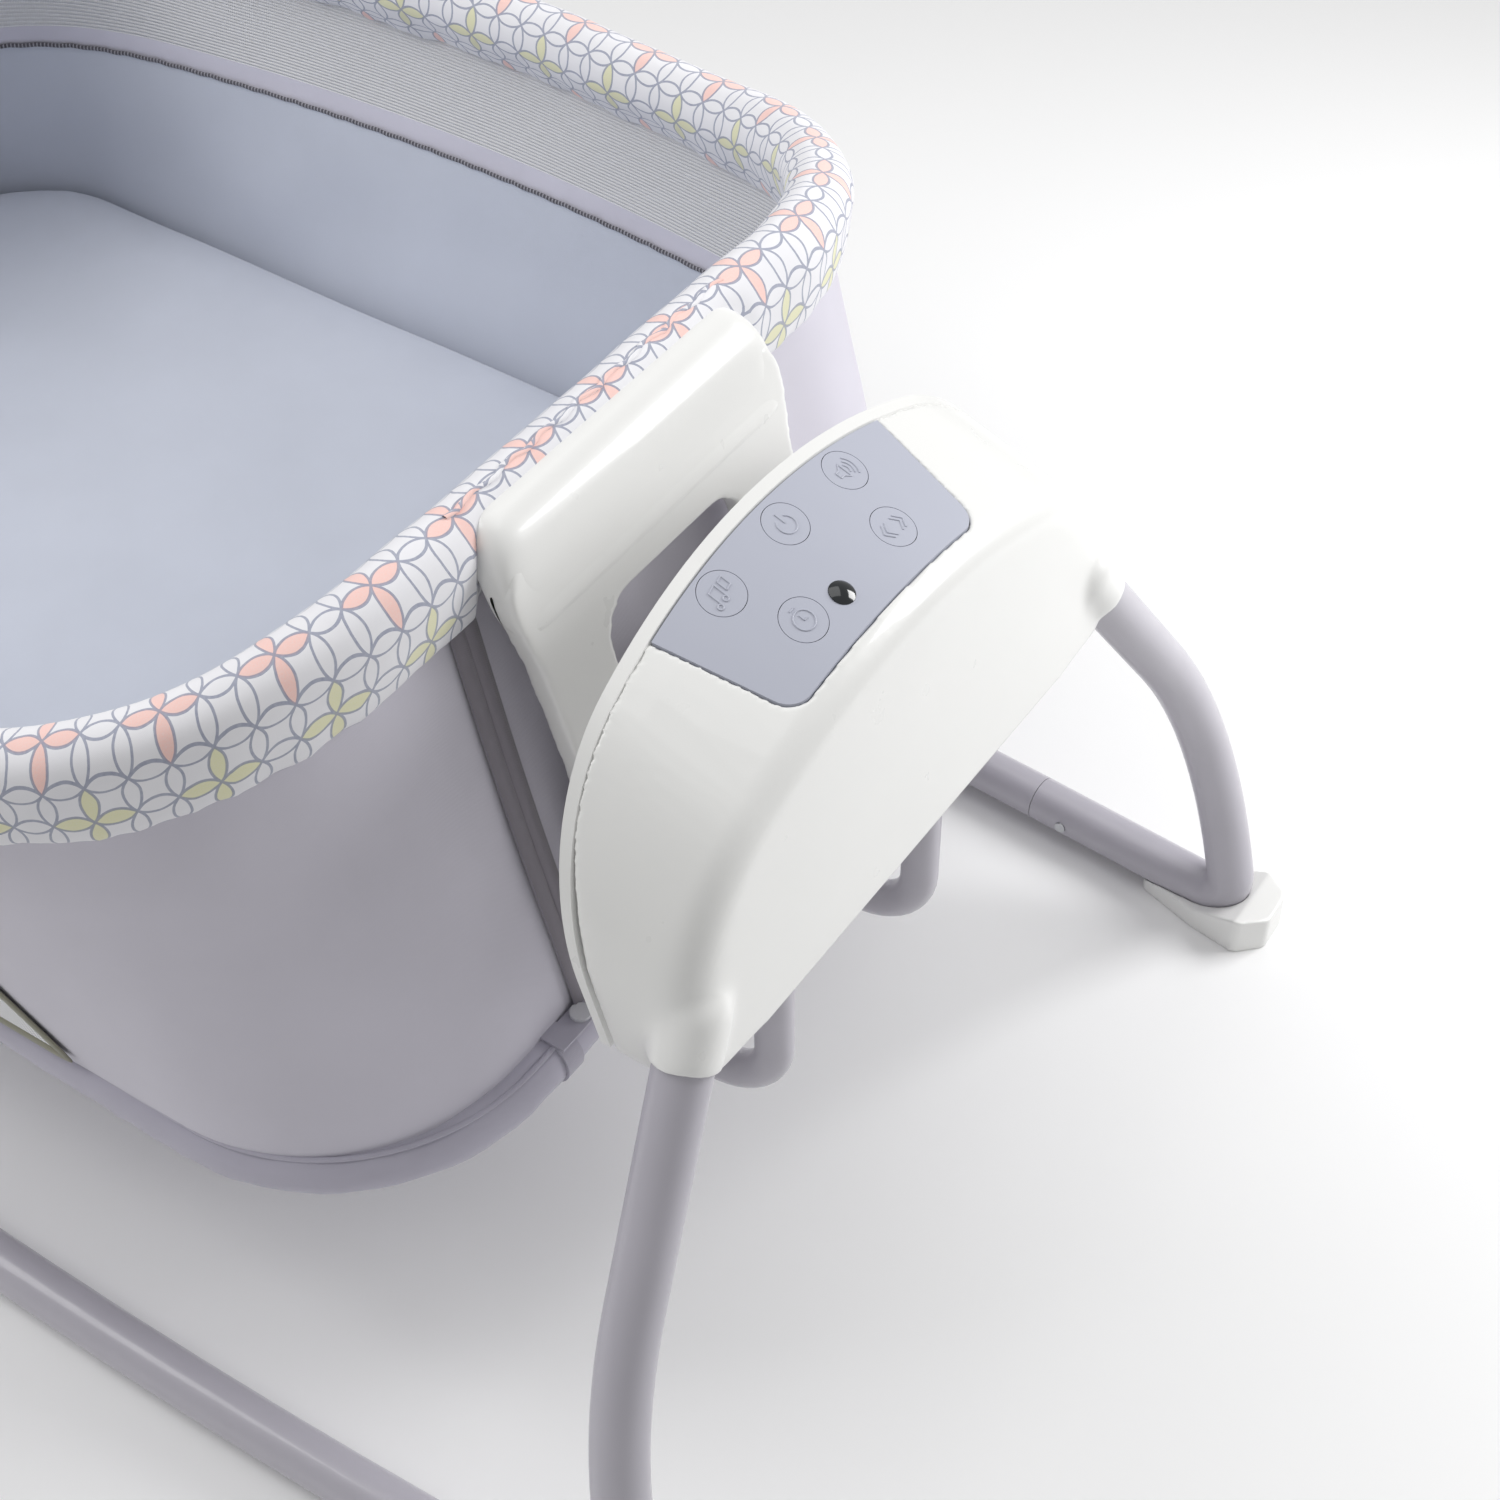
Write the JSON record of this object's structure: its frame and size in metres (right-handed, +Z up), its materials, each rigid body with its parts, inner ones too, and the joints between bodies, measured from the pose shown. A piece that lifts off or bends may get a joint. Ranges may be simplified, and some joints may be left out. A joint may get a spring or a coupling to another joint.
{
  "type": "baby swing",
  "caption": "Infant bassinet swing: padded oval bassinet hung by two carrier tubes from arched housings on a four-legged tube base, with a control panel.",
  "frame": {"origin": "on the floor under the middle of the swing", "axes": "+X to the motor end with the control panel, +Y to the left side, +Z up"},
  "size_m": [1.0836, 0.598, 0.4395],
  "materials": {
    "white_plastic": "satin moulded plastic",
    "panel_plastic": "soft satin",
    "dark_lens": "polished",
    "tube_paint": "smooth powder coat",
    "zinc_steel": "zinc plated",
    "bronze": "sintered",
    "cast_aluminium": "as cast",
    "copper_winding": "enamelled wire",
    "board_green": "solder mask",
    "black_plastic": "fine texture",
    "printed_fabric": "woven print on padding",
    "lavender_fabric": "plain weave",
    "white_mesh": "open knit",
    "webbing": "woven tape",
    "snap_metal": "satin",
    "fibre_board": "pressed fibre board",
    "liner_fabric": "smooth knit"
  },
  "bodies": {
    "base": {"leg_tube_motor_left": "tube_paint", "leg_tube_motor_right": "tube_paint", "leg_tube_plain_left": "tube_paint", "leg_tube_plain_right": "tube_paint", "foot_shoe_motor_left": "white_plastic", "foot_shoe_motor_right": "white_plastic", "foot_shoe_plain_left": "white_plastic", "foot_shoe_plain_right": "white_plastic", "floor_tube_left": "tube_paint", "floor_tube_right": "tube_paint", "tube_snap_pins": "zinc_steel", "base_screws": "zinc_steel", "housing_cover_motor": "white_plastic", "housing_cover_plain": "white_plastic", "housing_liner_motor": "white_plastic", "housing_liner_plain": "white_plastic", "control_panel": "panel_plastic", "receiver_lens": "dark_lens", "circuit_board": "board_green", "pivot_bracket_motor": "zinc_steel", "pivot_bracket_plain": "zinc_steel", "pivot_bushes": "bronze", "drive_coil": "copper_winding", "speaker": "black_plastic", "power_inlet": "black_plastic"},
    "swing_frame": {"pivot_shaft_motor": "zinc_steel", "pivot_shaft_plain": "zinc_steel", "shaft_rings": "zinc_steel", "yoke_motor": "cast_aluminium", "yoke_plain": "cast_aluminium", "carrier_tube_left": "tube_paint", "carrier_tube_right": "tube_paint", "bassinet_saddles": "black_plastic", "drive_magnet": "zinc_steel"},
    "bassinet": {"ring_tube_motor": "zinc_steel", "ring_tube_plain": "zinc_steel", "ring_casing_motor": "lavender_fabric", "ring_casing_plain": "lavender_fabric", "rim_tube_motor": "zinc_steel", "rim_tube_plain": "zinc_steel", "rim_sleeve": "printed_fabric", "side_fabric_left": "lavender_fabric", "side_fabric_right": "lavender_fabric", "mesh_window_left": "white_mesh", "mesh_window_right": "white_mesh", "end_fabric_motor": "lavender_fabric", "end_fabric_plain": "lavender_fabric", "end_plate_motor": "white_plastic", "end_plate_plain": "white_plastic", "rim_screws": "zinc_steel", "ring_straps": "webbing", "snap_buttons": "snap_metal", "bottom_cloth": "lavender_fabric", "mattress_board": "fibre_board"},
    "mattress": {"mattress": "liner_fabric"},
    "volume_button": {"button_volume": "panel_plastic"},
    "power_button": {"button_power": "panel_plastic"},
    "music_button": {"button_music": "panel_plastic"},
    "swing_button": {"button_swing": "panel_plastic"},
    "timer_button": {"button_timer": "panel_plastic"}
  },
  "joints": [
    {"name": "swing", "type": "hinge", "parent": "base", "child": "swing_frame", "pos_m": [0, 0, 0.37], "axis": [1, 0, 0], "range_deg": [-12, 12]},
    {"name": "bassinet_lift", "type": "slide", "parent": "swing_frame", "child": "bassinet", "axis": [0, 0, 1], "range_m": [0, 0.12]},
    {"name": "mattress_lift", "type": "slide", "parent": "bassinet", "child": "mattress", "axis": [0, 0, 1], "range_m": [0, 0.06]},
    {"name": "volume_press", "type": "slide", "parent": "base", "child": "volume_button", "axis": [-0.342, 0, -0.9397], "range_m": [0, 0.0008], "stiffness_N_per_m": 800},
    {"name": "power_press", "type": "slide", "parent": "base", "child": "power_button", "axis": [-0.342, 0, -0.9397], "range_m": [0, 0.0008], "stiffness_N_per_m": 800},
    {"name": "music_press", "type": "slide", "parent": "base", "child": "music_button", "axis": [-0.342, 0, -0.9397], "range_m": [0, 0.0008], "stiffness_N_per_m": 800},
    {"name": "swing_press", "type": "slide", "parent": "base", "child": "swing_button", "axis": [-0.342, 0, -0.9397], "range_m": [0, 0.0008], "stiffness_N_per_m": 800},
    {"name": "timer_press", "type": "slide", "parent": "base", "child": "timer_button", "axis": [-0.342, 0, -0.9397], "range_m": [0, 0.0008], "stiffness_N_per_m": 800}
  ]
}
